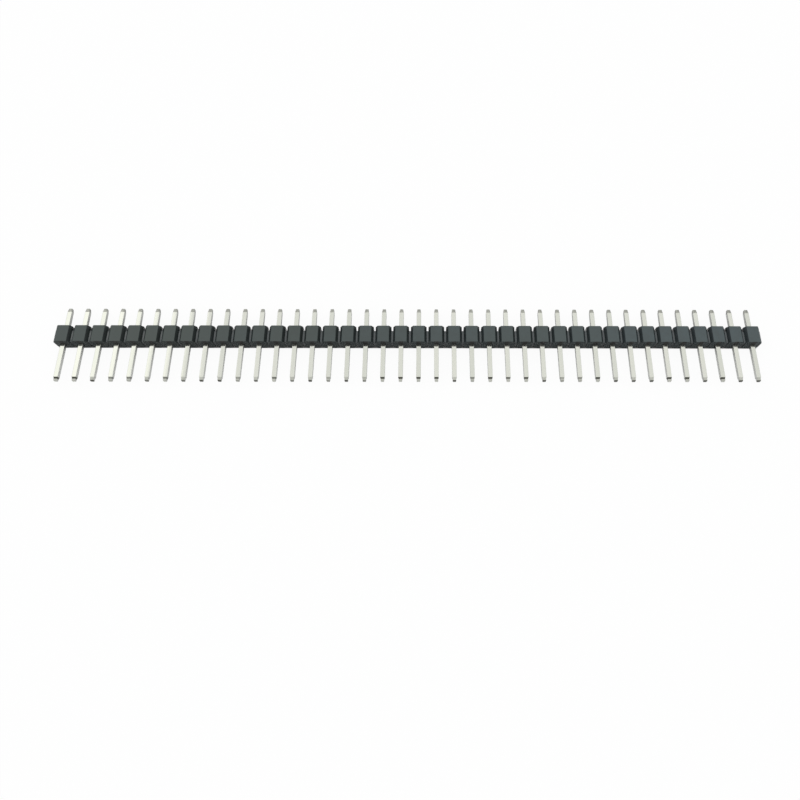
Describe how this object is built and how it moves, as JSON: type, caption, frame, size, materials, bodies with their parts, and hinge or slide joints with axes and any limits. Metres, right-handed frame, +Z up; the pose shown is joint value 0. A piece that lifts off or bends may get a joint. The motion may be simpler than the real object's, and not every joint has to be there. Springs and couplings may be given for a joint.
{
  "type": "pin header strip",
  "caption": "Single-row break-away pin header strip: moulded black insulator of square cells joined by thin webs, a straight square tin-plated pin through each cell.",
  "frame": {"origin": "middle of the strip's outline, on the plane it rests on, with the pins lying level above it", "axes": "+X along the strip from the first pin to the last, +Y along the pins towards the short solder tails, +Z up from the resting side"},
  "size_m": [0.1014, 0.0112, 0.0025],
  "materials": {
    "insulator": "matte",
    "pins": "satin"
  },
  "bodies": {
    "root": {"insulator": "insulator", "pin_01": "pins", "pin_02": "pins", "pin_03": "pins", "pin_04": "pins", "pin_05": "pins", "pin_06": "pins", "pin_07": "pins", "pin_08": "pins", "pin_09": "pins", "pin_10": "pins", "pin_11": "pins", "pin_12": "pins", "pin_13": "pins", "pin_14": "pins", "pin_15": "pins", "pin_16": "pins", "pin_17": "pins", "pin_18": "pins", "pin_19": "pins", "pin_20": "pins", "pin_21": "pins", "pin_22": "pins", "pin_23": "pins", "pin_24": "pins", "pin_25": "pins", "pin_26": "pins", "pin_27": "pins", "pin_28": "pins", "pin_29": "pins", "pin_30": "pins", "pin_31": "pins", "pin_32": "pins", "pin_33": "pins", "pin_34": "pins", "pin_35": "pins", "pin_36": "pins", "pin_37": "pins", "pin_38": "pins", "pin_39": "pins", "pin_40": "pins"}
  },
  "joints": []
}
